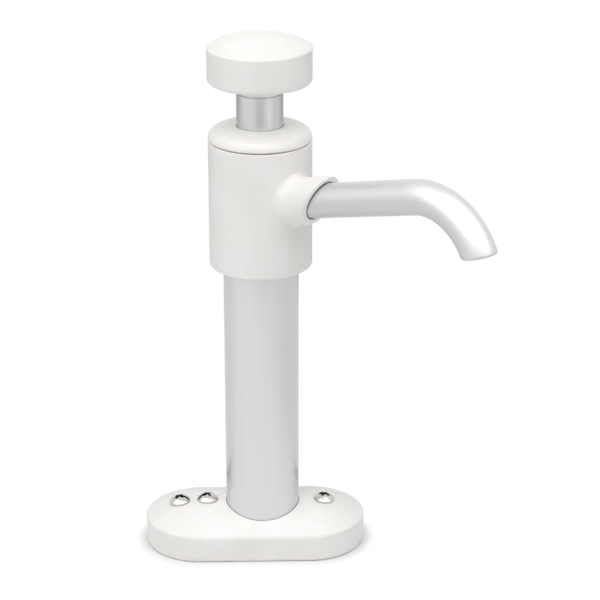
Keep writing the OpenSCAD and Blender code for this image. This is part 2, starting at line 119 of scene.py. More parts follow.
def roundCorners(corners, arcSteps=8):
    points = []
    for i, (x, z, rounding) in enumerate(corners):
        here = Vector((x, z))
        if rounding == 0 or i in (0, len(corners) - 1):
            points.append(here)
            continue
        back = (Vector(corners[i - 1][:2]) - here).normalized()
        ahead = (Vector(corners[i + 1][:2]) - here).normalized()
        half = back.angle(ahead) / 2
        centre = here + (back + ahead).normalized() * rounding / math.sin(half)
        start = here + back * rounding / math.tan(half) - centre
        sweep = math.pi - 2 * half
        if back.cross(ahead) > 0:
            sweep = -sweep
        for k in range(arcSteps + 1):
            points.append(centre + Matrix.Rotation(sweep * k / arcSteps, 2) @ start)
    return points


def archPoints(halfWidth, top, rise, fromX, toX, steps):
    # points on a top that rises by rise over half its width
    radius = (halfWidth ** 2 + rise ** 2) / (2 * rise)
    found = []
    for k in range(steps + 1):
        x = fromX + (toX - fromX) * k / steps
        found.append((x, top - radius + math.sqrt(radius ** 2 - x ** 2), 0))
    return found


def crownPoints(halfWidth, top, rise, edge, fromX, topSteps, rollSteps):
    # an arched top and the roll from it to an upright side
    radius = (halfWidth ** 2 + rise ** 2) / (2 * rise)
    edgeX = halfWidth - edge
    edgeZ = top - radius + math.sqrt((radius - edge) ** 2 - edgeX ** 2)
    lean = math.atan2(edgeX, edgeZ - top + radius)
    found = archPoints(halfWidth, top, rise, fromX, edgeX + edge * math.sin(lean), topSteps)
    for k in range(1, rollSteps + 1):
        turn = lean + (math.pi / 2 - lean) * k / rollSteps
        found.append((edgeX + edge * math.sin(turn), edgeZ + edge * math.cos(turn), 0))
    return found


def drawOutline(name, points):
    # a plane merged to one point, which is then extruded along the outline
    deselectAll()
    bpy.ops.mesh.primitive_plane_add(size=2 * mm, location=(0, 0, 0))
    piece = bpy.context.object
    piece.name = name
    piece.data.name = name
    bpy.ops.object.mode_set(mode="EDIT")
    bpy.ops.mesh.select_mode(type="VERT")
    bpy.ops.mesh.select_all(action="SELECT")
    bpy.ops.mesh.merge(type="CENTER")
    bpy.ops.transform.translate(value=(points[0][0] * mm, 0, points[0][1] * mm))
    for here, there in zip(points, points[1:]):
        step = ((there[0] - here[0]) * mm, 0, (there[1] - here[1]) * mm)
        bpy.ops.mesh.extrude_vertices_move(TRANSFORM_OT_translate={"value": step})
    return piece


def spinOutline(name, points, steps):
    piece = drawOutline(name, points)
    bpy.ops.mesh.select_all(action="SELECT")
    bpy.ops.mesh.spin(steps=steps, angle=2 * math.pi, center=(0, 0, 0), axis=(0, 0, 1))
    bpy.ops.mesh.select_all(action="SELECT")
    bpy.ops.mesh.remove_doubles(threshold=weldGap * mm)
    return piece


def turnPiece(name, corners, steps=144, smoothAngle=35, arcSteps=8):
    piece = spinOutline(name, roundCorners(corners, arcSteps), steps)
    closePiece(piece, smoothAngle)
    return piece


# materials

def hexColour(text):
    channels = [int(text[i:i + 2], 16) / 255 for i in (0, 2, 4)]
    linear = [c / 12.92 if c <= 0.04045 else ((c + 0.055) / 1.055) ** 2.4 for c in channels]
    return (*linear, 1)


def addNode(tree, kind, inputs=None, **settings):
    node = tree.nodes.new(kind)
    for key, value in settings.items():
        setattr(node, key, value)
    for socket, value in (inputs or {}).items():
        if isinstance(value, bpy.types.NodeSocket):
            tree.links.new(value, node.inputs[socket])
        else:
            node.inputs[socket].default_value = value
    return node


def startMaterial(name):
    material = bpy.data.materials.new(name)
    material.use_nodes = True
    tree = material.node_tree
    tree.nodes.clear()
    surface = addNode(tree, "ShaderNodeBsdfPrincipled")
    addNode(tree, "ShaderNodeOutputMaterial", {"Surface": surface.outputs["BSDF"]})
    return material, tree, surface


# moulded nylon: warm white, satin, with the faint waviness that a mould leaves
nylonLook = {
    "pale": "f2f0ee",
    "deep": "eeece9",
    "cloud": 14,        # mm across the pale and deep patches
    "grain": 0.6,       # mm, spark-eroded mould texture, drawn coarser than it is so that it shows
    "grainDepth": 0.004,
    "grainStrength": 0.6,
    "roughLow": 0.34,
    "roughHigh": 0.44,
    "ior": 1.53,
}


def mouldedNylon(name, look):
    material, tree, surface = startMaterial(name)
    place = addNode(tree, "ShaderNodeTexCoord").outputs["Object"]
    cloud = addNode(tree, "ShaderNodeTexNoise", {
        "Vector": place, "Scale": 1 / (look["cloud"] * mm), "Detail": 2, "Roughness": 0.5})
    tint = addNode(tree, "ShaderNodeValToRGB", {"Fac": cloud.outputs["Fac"]})
    tint.color_ramp.elements[0].position = 0.35
    tint.color_ramp.elements[0].color = hexColour(look["deep"])
    tint.color_ramp.elements[1].position = 0.65
    tint.color_ramp.elements[1].color = hexColour(look["pale"])
    grain = addNode(tree, "ShaderNodeTexNoise", {
        "Vector": place, "Scale": 1 / (look["grain"] * mm), "Detail": 3, "Roughness": 0.6})
    rough = addNode(tree, "ShaderNodeMapRange", {
        "Value": grain.outputs["Fac"], "From Min": 0.3, "From Max": 0.7,
        "To Min": look["roughLow"], "To Max": look["roughHigh"]})
    bump = addNode(tree, "ShaderNodeBump", {
        "Height": grain.outputs["Fac"], "Distance": look["grainDepth"] * mm,
        "Strength": look["grainStrength"]})
    tree.links.new(tint.outputs["Color"], surface.inputs["Base Color"])
    tree.links.new(rough.outputs["Result"], surface.inputs["Roughness"])
    tree.links.new(bump.outputs["Normal"], surface.inputs["Normal"])
    surface.inputs["IOR"].default_value = look["ior"]
    return material


# anodised aluminium: drawn tube, satin, with fine die lines that run along it
aluminiumLook = {
    "pale": "dcdcde",
    "deep": "d9d9dc",
    "line": 0.5,        # mm between die lines, drawn coarser than they are so that they show
    "lineLength": 40,   # mm
    "grit": 0.25,       # mm, the etched grain under the anodising
    "lineDepth": 0.0006,
    "lineStrength": 0.5,
    "roughLow": 0.42,
    "roughHigh": 0.52,
    "coat": 0.4,        # the sealed oxide layer
    "coatRough": 0.22,
    "coatIor": 1.6,
}

# a darker copy of the cylinder's aluminium for the spout: painted shade that holds down the brightness of its
# bend
spoutShadeLook = dict(aluminiumLook, pale="d4d4d6", deep="d0d0d3")

# the plunger is polished where it slides through its seal
plungerLook = dict(aluminiumLook, pale="d2d2d1", deep="cecece", roughLow=0.29, roughHigh=0.31)


def anodisedAluminium(name, look, alongUv):
    material, tree, surface = startMaterial(name)
    coords = addNode(tree, "ShaderNodeTexCoord")
    across = 1 / (look["line"] * mm)
    along = 1 / (look["lineLength"] * mm)
    if alongUv:     # the spout's map holds metres round it and along it
        place = coords.outputs["UV"]
        stretch = (across, along, 1)
    else:
        place = coords.outputs["Object"]
        stretch = (across, across, along)
    drawn = addNode(tree, "ShaderNodeMapping", {"Vector": place, "Scale": stretch})
    lines = addNode(tree, "ShaderNodeTexNoise", {
        "Vector": drawn.outputs["Vector"], "Scale": 1, "Detail": 3, "Roughness": 0.55})
    grit = addNode(tree, "ShaderNodeTexNoise", {
        "Vector": coords.outputs["Object"], "Scale": 1 / (look["grit"] * mm), "Detail": 2})
    tint = addNode(tree, "ShaderNodeValToRGB", {"Fac": lines.outputs["Fac"]})
    tint.color_ramp.elements[0].position = 0.3
    tint.color_ramp.elements[0].color = hexColour(look["deep"])
    tint.color_ramp.elements[1].position = 0.7
    tint.color_ramp.elements[1].color = hexColour(look["pale"])
    rough = addNode(tree, "ShaderNodeMapRange", {
        "Value": grit.outputs["Fac"], "From Min": 0.3, "From Max": 0.7,
        "To Min": look["roughLow"], "To Max": look["roughHigh"]})
    bump = addNode(tree, "ShaderNodeBump", {
        "Height": lines.outputs["Fac"], "Distance": look["lineDepth"] * mm,
        "Strength": look["lineStrength"]})
    tree.links.new(tint.outputs["Color"], surface.inputs["Base Color"])
    tree.links.new(rough.outputs["Result"], surface.inputs["Roughness"])
    tree.links.new(bump.outputs["Normal"], surface.inputs["Normal"])
    surface.inputs["Metallic"].default_value = 1
    surface.inputs["Coat Weight"].default_value = look["coat"]
    surface.inputs["Coat Roughness"].default_value = look["coatRough"]
    surface.inputs["Coat IOR"].default_value = look["coatIor"]
    return material


# polished stainless steel, painted shade for the screws' recesses, black nitrile rubber, turned
# acetal and turned brass share one set of nodes: a fine speckle in the colour and in the gloss
plainLooks = {
    "polishedStainless": {"pale": "cfcdca", "deep": "c4c2be",
                          "grain": 0.3, "low": 0.06, "high": 0.12, "metal": 1},
    # painted shade: a dark steel for the faces inside the screws' recesses
    "recessShadeSteel": {"pale": "6a645a", "deep": "3a3630",
                      "grain": 0.6, "low": 0.25, "high": 0.4, "metal": 1},
    "blackNitrile": {"pale": "26272a", "deep": "1b1c1e",
                     "grain": 0.4, "low": 0.55, "high": 0.7, "metal": 0},
    "turnedAcetal": {"pale": "e2e1db", "deep": "d8d7d0",
                     "grain": 0.5, "low": 0.38, "high": 0.5, "metal": 0},
    "turnedBrass": {"pale": "c9a552", "deep": "b8934a",
                    "grain": 0.3, "low": 0.22, "high": 0.34, "metal": 1},
}


def speckled(name, look):
    material, tree, surface = startMaterial(name)
    place = addNode(tree, "ShaderNodeTexCoord").outputs["Object"]
    grain = addNode(tree, "ShaderNodeTexNoise", {
        "Vector": place, "Scale": 1 / (look["grain"] * mm), "Detail": 2})
    tint = addNode(tree, "ShaderNodeValToRGB", {"Fac": grain.outputs["Fac"]})
    tint.color_ramp.elements[0].position = 0.3
    tint.color_ramp.elements[0].color = hexColour(look["deep"])
    tint.color_ramp.elements[1].position = 0.7
    tint.color_ramp.elements[1].color = hexColour(look["pale"])
    rough = addNode(tree, "ShaderNodeMapRange", {
        "Value": grain.outputs["Fac"], "From Min": 0.3, "From Max": 0.7,
        "To Min": look["low"], "To Max": look["high"]})
    tree.links.new(tint.outputs["Color"], surface.inputs["Base Color"])
    tree.links.new(rough.outputs["Result"], surface.inputs["Roughness"])
    surface.inputs["Metallic"].default_value = look["metal"]
    return material


nylon = mouldedNylon("mouldedNylon", nylonLook)
aluminium = anodisedAluminium("anodisedAluminium", aluminiumLook, False)
slidingAluminium = anodisedAluminium("anodisedAluminiumPolished", plungerLook, False)
spoutShadeAluminium = anodisedAluminium("anodisedAluminiumSpoutShade", spoutShadeLook, True)
stainless = speckled("polishedStainless", plainLooks["polishedStainless"])
recessShadeSteel = speckled("recessShadeSteel", plainLooks["recessShadeSteel"])
nitrile = speckled("blackNitrile", plainLooks["blackNitrile"])
acetal = speckled("turnedAcetal", plainLooks["turnedAcetal"])
brass = speckled("turnedBrass", plainLooks["turnedBrass"])
print("materials made")

slotMaterials = {
    "white_nylon": nylon,
    "satin_aluminium": aluminium,
    "stainless_steel": stainless,
    "black_nitrile": nitrile,
    "natural_acetal": acetal,
    "brass": brass,
}
for entry in frame["record"]["subparts"]:
    solid = frame["nodes"][entry["node"]]
    solid.data.materials.clear()
    solid.data.materials.append(slotMaterials[entry["material_slot"]])


def dressPiece(piece, material, body, node):
    piece.data.materials.clear()
    piece.data.materials.append(material)
    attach(piece, body)
    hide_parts(node)


def paintFaces(piece, faces, material):
    piece.data.materials.append(material)
    for index in faces:
        piece.data.polygons[index].material_index = 1


# base: a crowned block with round ends
baseSizes = {
    "halfWidth": 24.08,
    "longMiddle": -27.1,    # centres of the round ends
    "shortMiddle": 20.5,
    "height": 18.6,
    "rise": 6.4,
    "edge": 3.4,            # roll along the straight sides
    "endEdge": 1.1,         # crisper roll round the ends
    "crispRate": 1.6,       # how soon the roll turns crisp round the ends
    "foot": 1.5,
    "slot": 0.4,            # half width of the flat ridge
    "tubeHole": 16.15,
    "ledge": 6,
    "bore": 14.275,
    "flangeHole": 18.2,
    "flangeDepth": 3.4,
    "spinSteps": 126,       # no column falls on the middle, so the halves pull apart cleanly
    "straightCuts": 36,
    "topSteps": 24,
    "rollSteps": 10,
    "longEdge": 20,         # mm, only the edges along the straight sides are longer
    "cutBelow": 2,          # how far the tube's hole is cut past the base
    "cutAbove": 4,
    "smoothAngle": 35,
}
screwSizes = {
    "places": [(-36.4, 17.702, -6), (-24.2, 18.6, 0), (27.1, 18.150, 6.3)],    # x, z and lean
    "turns": [50, 38, 57],  # how each one's cross ended up when it was driven home
    "sink": 0.26,
    "headRadius": 4.5,
    "headHeight": 3.0,
    "rim": 1.0,
    "rimRoll": 0.35,
    "shankRadius": 2.4,
    "length": 15,
    "point": 4,
    "holeRadius": 2.6,
    "seatRadius": 4.68,
    "recessSpan": 5.6,
    "recessWidth": 1.2,
    "recessDepth": 2.0,
    "recessTaper": 0.65,
    "recessWall": 0.6,      # inside the recess, faces that point up less than this are walls
    "recessSlack": 0.05,
    "headBreak": 0.1,
    "neckFillet": 0.2,
    "tip": 0.5,
    "tipRound": 0.2,
    "holeDepth": 30,
    "holeRise": 8,
    "holeSteps": 72,
    "steps": 96,
    "domeSteps": 16,
    "rollSteps": 6,
    "arcSteps": 4,
    "smoothAngle": 40,
}


def makeBase(s):
    top, crisp = [crownPoints(s["halfWidth"], s["height"], s["rise"], roll, s["slot"],
                              s["topSteps"], s["rollSteps"]) for roll in (s["edge"], s["endEdge"])]
    side = [(s["halfWidth"], s["height"] / 3, 0), (s["halfWidth"], 0, s["foot"]), (s["slot"], 0, 0)]
    piece = spinOutline("baseMoulding", roundCorners(top + side), s["spinSteps"])

    # towards the tips of the ends each point of the top moves to its place on the crisper outline
    mesh = bmesh.from_edit_mesh(piece.data)
    for vert in mesh.verts:
        p = vert.co / mm
        out = math.hypot(p.x, p.y)
        gap, soft, hard = min((abs(out - a[0]) + abs(p.z - a[1]), a, b) for a, b in zip(top, crisp))
        if gap < pickSlack:
            share = min(1, s["crispRate"] * abs(p.x) / out)
            newOut = soft[0] + (hard[0] - soft[0]) * share
            newZ = soft[1] + (hard[1] - soft[1]) * share
            vert.co = Vector((p.x * newOut / out, p.y * newOut / out, newZ)) * mm
    bmesh.update_edit_mesh(piece.data)
    pickVerts(piece, lambda p: p.x > 0)
    bpy.ops.transform.translate(value=(s["shortMiddle"] * mm, 0, 0))
    pickVerts(piece, lambda p: p.x < 0)
    bpy.ops.transform.translate(value=(s["longMiddle"] * mm, 0, 0))
    pickEdges(piece, lambda a, b: abs(a.x - b.x) > s["longEdge"])
    bpy.ops.mesh.subdivide(number_cuts=s["straightCuts"])
    bpy.ops.mesh.select_all(action="DESELECT")
    bpy.ops.mesh.select_non_manifold()
    bpy.ops.mesh.fill_holes(sides=0)
    closePiece(piece, s["smoothAngle"])

    low = -s["cutBelow"]
    high = s["height"] + s["cutAbove"]
    cutter = turnPiece("tubeHole", [
        (0, low, 0), (s["flangeHole"], low, 0), (s["flangeHole"], s["flangeDepth"], 0),
        (s["bore"], s["flangeDepth"], 0), (s["bore"], s["ledge"], 0), (s["tubeHole"], s["ledge"], 0),
        (s["tubeHole"], high, 0), (0, high, 0)])
    cutWith(piece, cutter)
    return piece


base = makeBase(baseSizes)


def seatScrew(piece, s, place):
    # square to the crown and sunk a little into it
    x, z, lean = place
    across = s["sink"] * math.sin(math.radians(lean))
    down = s["sink"] * math.cos(math.radians(lean))
    placePiece(piece, (x - across, 0, z - down), lean, 0)


def makeScrewHole(s, place):
    hole = turnPiece("screwHole", [
        (0, -s["holeDepth"], 0), (s["holeRadius"], -s["holeDepth"], 0), (s["holeRadius"], 0, 0),
        (s["seatRadius"], 0, 0), (s["seatRadius"], s["holeRise"], 0), (0, s["holeRise"], 0)],
        steps=s["holeSteps"])
    seatScrew(hole, s, place)
    return hole


for place in screwSizes["places"]:
    cutWith(base, makeScrewHole(screwSizes, place))
smoothPiece(base, baseSizes["smoothAngle"])
dressPiece(base, nylon, "stand", "base_flange")
print("base moulded,", len(base.data.polygons), "faces")


def makeScrew(s, name):
    dome = crownPoints(s["headRadius"], s["headHeight"], s["headHeight"] - s["rim"], s["rimRoll"], 0,
                       s["domeSteps"], s["rollSteps"])
    rest = [(s["headRadius"], 0, s["headBreak"]), (s["shankRadius"], 0, s["neckFillet"]),
            (s["shankRadius"], s["point"] - s["length"], 0), (s["tip"], -s["length"], s["tipRound"]),
            (0, -s["length"], 0)]
    piece = turnPiece(name, dome + rest, s["steps"], s["smoothAngle"], s["arcSteps"])
    for turn in (0, 90):
        deselectAll()
        bpy.ops.mesh.primitive_cube_add(size=1, location=(0, 0, 0))
        wing = bpy.context.object
        wing.scale = (s["recessSpan"] * mm, s["recessWidth"] * mm, 2 * s["recessDepth"] * mm)
        wing.location = (0, 0, s["headHeight"] * mm)
        wing.rotation_euler = (0, 0, math.radians(turn))
        bpy.ops.object.transform_apply(location=True, rotation=True, scale=True)
        openPiece(wing)
        pickVerts(wing, lambda p: p.z < s["headHeight"])
        bpy.ops.transform.resize(value=(s["recessTaper"], s["recessTaper"], 1))
        bpy.ops.object.mode_set(mode="OBJECT")
        cutWith(piece, wing)
    smoothPiece(piece, s["smoothAngle"])

    floorZ = s["headHeight"] - s["recessDepth"] + s["recessSlack"]

    # the faces inside the cross recess, which are given dark steel as painted shade
    def inRecess(face):
        spot = face.center / mm
        inside = spot.z > s["rimRoll"] and spot.xy.length < s["recessSpan"] / 2
        return inside and (face.normal.z < s["recessWall"] or spot.z < floorZ)

    return piece, [face.index for face in piece.data.polygons if inRecess(face)]


masterScrew, recessShadeFaces = makeScrew(screwSizes, "mountingScrewA")
screwPieces = [masterScrew]
for letter in "BC":
    makeActive(masterScrew)
    bpy.ops.object.duplicate()
    twin = bpy.context.object
    twin.name = "mountingScrew" + letter
    twin.data.name = twin.name
    screwPieces.append(twin)
for screw, place, turn in zip(screwPieces, screwSizes["places"], screwSizes["turns"]):
    placePiece(screw, (0, 0, 0), 0, turn)
    seatScrew(screw, screwSizes, place)
    dressPiece(screw, stainless, "stand", "mounting_screws")
    # the recess faces get the dark steel: painted shade
    paintFaces(screw, recessShadeFaces, recessShadeSteel)
print("screws driven")


# cylinder: drawn tube
tubeSizes = {
    "radius": 15.875,
    "bore": 14.275,
    "foot": 6,
    "top": 148.5,
    "clipZ": 139.25,
    "clipGroove": 0.65,
    "grooveRound": 0.3,
    "chamfer": 0.3,
    "steps": 160,
}


def makeTube(s):
    groove = [(s["radius"], s["clipZ"] - s["clipGroove"], 0),
              (s["radius"] - s["clipGroove"], s["clipZ"], s["grooveRound"]),
              (s["radius"], s["clipZ"] + s["clipGroove"], 0)]
    middle = (s["foot"] + s["top"]) / 2
    return turnPiece("cylinderTube", [
        (s["bore"], middle, 0), (s["bore"], s["foot"], 0), (s["radius"], s["foot"], s["chamfer"]), *groove,
        (s["radius"], s["top"], s["chamfer"]), (s["bore"], s["top"], 0), (s["bore"], middle, 0)],
        s["steps"])


tube = makeTube(tubeSizes)
dressPiece(tube, aluminium, "stand", "cylinder_tube")
print("cylinder turned")


# head: a barrel with a boss for the spout, whose root is a fillet and whose end is slanted
headSizes = {
    "radius": 21.6,
    "bottom": 130.25,
    "top": 184.65,
    "edge": 0.7,
    "socket": 15.95,
    "shoulder": 148.7,
    "chamber": 12.5,
    "guideZ": 167.9,
    "guide": 13.5,
    "glandZ": 177.8,
    "spigot": 17.05,
    "sealRecessZ": 182.95,
    "sealRecess": 19.0,
    "sealGrooves": [134.75, 143.75],
    "sealGroove": 17.5,
    "sealHalf": 0.95,
    "clipZ": 139.25,
    "clipGroove": 16.75,
    "clipHalf": 0.9,
    "socketEdge": 0.3,
    "seamDrop": 8,          # the outline starts this far below the boss's window
    "columns": 160,
    "windowColumns": 20,    # each side of the boss
    "windowLow": 146.6,
    "windowHigh": 178.6,
    "windowRows": 40,
    "patchRings": 5,
    "smoothAngle": 40,
}
bossSizes = {
    "azimuth": -47,
    "rise": 15.6,
    "z": 156.75,            # where its axis meets the pump's
    "radius": 9.75,
    "end": 37.2,            # along its axis
    "slant": 38.4,
    "fillet": 2.0,
    "filletBreak": 0.8,     # lifts the fillet's outer edge off the barrel, so that it shows as a line
    "filletRings": 12,
    "lipOuter": 1.5,
    "lipInner": 0.3,
    "lipShare": 0.9,        # of the outer roll, on the mouth's face
    "lipRings": 8,
    "runRings": 3,
    "bore": 7.42,           # leaves the thin dark gap round the spout
    "lipDepth": 0.8,
    "pocketRadius": 8.5,    # wider behind the lip, so that the gap stays dark
    "pocket": 22.626,
    "gapSlack": 0.02,
}


def barrelOutline(s):
    rows = [(s["radius"], s["windowLow"] + (s["windowHigh"] - s["windowLow"]) * k / s["windowRows"], 0)
            for k in range(s["windowRows"] + 1)]
    inner = [(s["sealRecess"], s["top"], 0), (s["sealRecess"], s["sealRecessZ"], 0),
             (s["spigot"], s["sealRecessZ"], 0), (s["spigot"], s["glandZ"], 0),
             (s["guide"], s["glandZ"], 0), (s["guide"], s["guideZ"], 0),
             (s["chamber"], s["guideZ"], 0), (s["chamber"], s["shoulder"], 0), (s["socket"], s["shoulder"], 0)]
    lowSeal, highSeal = s["sealGrooves"]
    for middle, depth, half in ((highSeal, s["sealGroove"], s["sealHalf"]),
                                (s["clipZ"], s["clipGroove"], s["clipHalf"]),
                                (lowSeal, s["sealGroove"], s["sealHalf"])):
        inner += [(s["socket"], middle + half, 0), (depth, middle + half, 0), (depth, middle - half, 0),
                  (s["socket"], middle - half, 0)]
    seam = (s["radius"], s["windowLow"] - s["seamDrop"], 0)
    return [seam, *rows, (s["radius"], s["top"], s["edge"]), *inner,
            (s["socket"], s["bottom"], s["socketEdge"]), (s["radius"], s["bottom"], s["edge"]), seam]


def makeHead(s, boss):
    piece = spinOutline("headMoulding", roundCorners(barrelOutline(s)), s["columns"])
    bpy.ops.mesh.select_all(action="DESELECT")
    halfWindow = s["windowColumns"] * 2 * math.pi / s["columns"]
    slack = 0.1 * math.pi / s["columns"]
    pickVerts(piece, lambda p: abs(math.atan2(p.y, p.x)) < halfWindow + slack
              and math.hypot(p.x, p.y) > s["radius"] - pickSlack
              and s["windowLow"] - pickSlack < p.z < s["windowHigh"] + pickSlack)
    bpy.ops.mesh.delete(type="FACE")
    bpy.ops.mesh.select_all(action="DESELECT")
    bpy.ops.mesh.select_non_manifold()

    rise = math.radians(boss["rise"])
    along = Vector((math.cos(rise), 0, math.sin(rise)))
    up = Vector((-math.sin(rise), 0, math.cos(rise)))
    middle = Vector((0, 0, boss["z"]))
    slope = math.tan(math.radians(boss["slant"]))

    def polar(p):
        # distance from the boss's axis, and the turn about it from its top
        q = p / mm - middle
        return math.hypot(q.dot(up), q.y), math.atan2(q.y, q.dot(up))

    def onBoss(reach, out, turn):
        sideways = Vector((0, out * math.sin(turn), 0))
        return (middle + along * reach + up * out * math.cos(turn) + sideways) * mm

    def onBarrel(out, turn):
        # how far along the boss's axis the barrel's surface lies
        flat = math.sqrt(s["radius"] ** 2 - (out * math.sin(turn)) ** 2)
        return (flat + out * math.cos(turn) * math.sin(rise)) / math.cos(rise)

    def addRing(where):
        bpy.ops.mesh.extrude_region_move()
        mesh = bmesh.from_edit_mesh(piece.data)
        for vert in mesh.verts:
            if vert.select:
                vert.co = where(*polar(vert.co))
        bmesh.update_edit_mesh(piece.data)

    def curve(a, b, c, t, pull=0.6):
        # from a to c, leaving and arriving in the directions of b
        first = a.lerp(b, pull)
        last = c.lerp(b, pull)
        return a * (1 - t) ** 3 + first * 3 * t * (1 - t) ** 2 + last * 3 * t ** 2 * (1 - t) + c * t ** 3

    root = boss["radius"] + boss["fillet"]
    for k in range(s["patchRings"]):
        share = 1 / (s["patchRings"] - k)

        def nearer(out, turn):
            newOut = out + (root - out) * share
            return onBoss(onBarrel(newOut, turn), newOut, turn)

        addRing(nearer)

    def filletPoint(turn, t):
        start = Vector((onBarrel(root, turn), root))
        fall = (onBarrel(root, turn) - onBarrel(root - pickSlack, turn)) / pickSlack
        corner = Vector((start.x - fall * boss["fillet"] + boss["filletBreak"], boss["radius"]))
        finish = Vector((corner.x + boss["fillet"], boss["radius"]))
        return curve(start, corner, finish, t)

    for k in range(1, boss["filletRings"] + 1):
        addRing(lambda out, turn: onBoss(*filletPoint(turn, k / boss["filletRings"]), turn))

    def endAt(out, turn):
        return boss["end"] + out * math.cos(turn) * slope

    def lipPoint(turn, t):
        corner = Vector((endAt(boss["radius"], turn), boss["radius"]))
        inside = Vector((endAt(boss["bore"], turn), boss["bore"]))
        start = corner - Vector((boss["lipOuter"], 0))
        face = (inside - corner).normalized()
        return curve(start, corner, corner + face * boss["lipOuter"] * boss["lipShare"], t)

    def mouthPoint(turn, t):
        corner = Vector((endAt(boss["bore"], turn), boss["bore"]))
        outside = Vector((endAt(boss["radius"], turn), boss["radius"]))
        start = corner + (outside - corner).normalized() * boss["lipInner"]
        return curve(start, corner, corner - Vector((boss["lipInner"], 0)), t)

    for k in range(boss["runRings"]):
        share = (k + 1) / (boss["runRings"] + 1)
        addRing(lambda out, turn: onBoss(*filletPoint(turn, 1).lerp(lipPoint(turn, 0), share), turn))
    for k in range(boss["lipRings"] + 1):
        addRing(lambda out, turn: onBoss(*lipPoint(turn, k / boss["lipRings"]), turn))
    for k in range(boss["lipRings"] + 1):
        addRing(lambda out, turn: onBoss(*mouthPoint(turn, k / boss["lipRings"]), turn))
    addRing(lambda out, turn: onBoss(endAt(boss["bore"], turn) - boss["lipDepth"], boss["bore"], turn))
    pocketOut = boss["pocketRadius"]
    addRing(lambda out, turn: onBoss(endAt(pocketOut, turn) - boss["lipDepth"], pocketOut, turn))
    addRing(lambda out, turn: onBoss(boss["pocket"], pocketOut, turn))
    bpy.ops.mesh.edge_face_add()
    closePiece(piece, s["smoothAngle"])

    # faces on the lip's bore and in the pocket behind it, which are given black rubber as painted shade
    def inGap(face):
        out, turn = polar(face.center)
        reach = (face.center / mm - middle).dot(along)
        onLip = out < boss["bore"] + boss["gapSlack"]
        behindLip = out < pocketOut and reach < endAt(out, turn) - boss["lipDepth"] / 2
        return reach > boss["pocket"] - boss["gapSlack"] and (onLip or behindLip)

    gapShadeFaces = [face.index for face in piece.data.polygons if inGap(face)]
    placePiece(piece, (0, 0, 0), 0, boss["azimuth"])
    return piece, gapShadeFaces


head, gapShadeFaces = makeHead(headSizes, bossSizes)
dressPiece(head, nylon, "head", "pump_head")
paintFaces(head, gapShadeFaces, nitrile)     # painted shade: the head's own faces in the gap round the spout get black rubber, for the dark line there
print("head moulded,", len(head.data.polygons), "faces")


# cap: a round shoulder, and a bright lip where the plunger leaves it
capSizes = {
    "radius": 21.6,
    "top": 191.75,
    "rise": 3.3,
    "edge": 4,
    "bottom": 185.25,
    "spigot": 17,
    "spigotZ": 177.85,
    "hole": 9.9,
    "lip": 0.5,
    "wiper": 12,
    "wiperTop": 188.449,
    "seamRise": 1,          # the outline starts this far above the wiper
    "lipRound": 0.4,
    "bottomEdge": 0.25,
    "spigotEdge": 0.3,
    "topSteps": 10,
    "rollSteps": 14,
    "steps": 160,
}


def makeCap(s):
    top = crownPoints(s["radius"], s["top"], s["rise"], s["edge"], s["hole"] + s["lip"],
                      s["topSteps"], s["rollSteps"])
    lipTop = archPoints(s["radius"], s["top"], s["rise"], s["hole"], s["hole"], 1)[0]
    seam = (s["hole"], s["wiperTop"] + s["seamRise"], 0)
    return turnPiece("capMoulding", [
        seam, (lipTop[0], lipTop[1], s["lipRound"]), *top, (s["radius"], s["bottom"], s["bottomEdge"]),
        (s["spigot"], s["bottom"], 0), (s["spigot"], s["spigotZ"], s["spigotEdge"]),
        (s["wiper"], s["spigotZ"], 0), (s["wiper"], s["wiperTop"], 0), (s["hole"], s["wiperTop"], 0), seam],
        s["steps"])


cap = makeCap(capSizes)
dressPiece(cap, nylon, "head", "gland_cap")
print("cap turned")


# spout: bent tube, made along Z and then laid on the boss's axis
spoutSizes = {
    "radius": 7.1,
    "wall": 1.2,
    "start": 22.626,
    "bendAt": 90.326,
    "bendRadius": 29.2,
    "bend": 79.7,
    "cut": 9,               # slant of the mouth, with its outer side longer
    "cutOver": 16,          # degrees of the bend that lean over into that slant
    "rim": 1.0,
    "rimOver": 4,           # degrees of the bend that the round rim takes
    "sides": 96,
    "runCuts": 23,
    "bendSteps": 38,
    "rimSegments": 8,
    "rimSlack": 0.1,        # mm and degrees, when the rim's edges are picked
    "smoothAngle": 40,
}


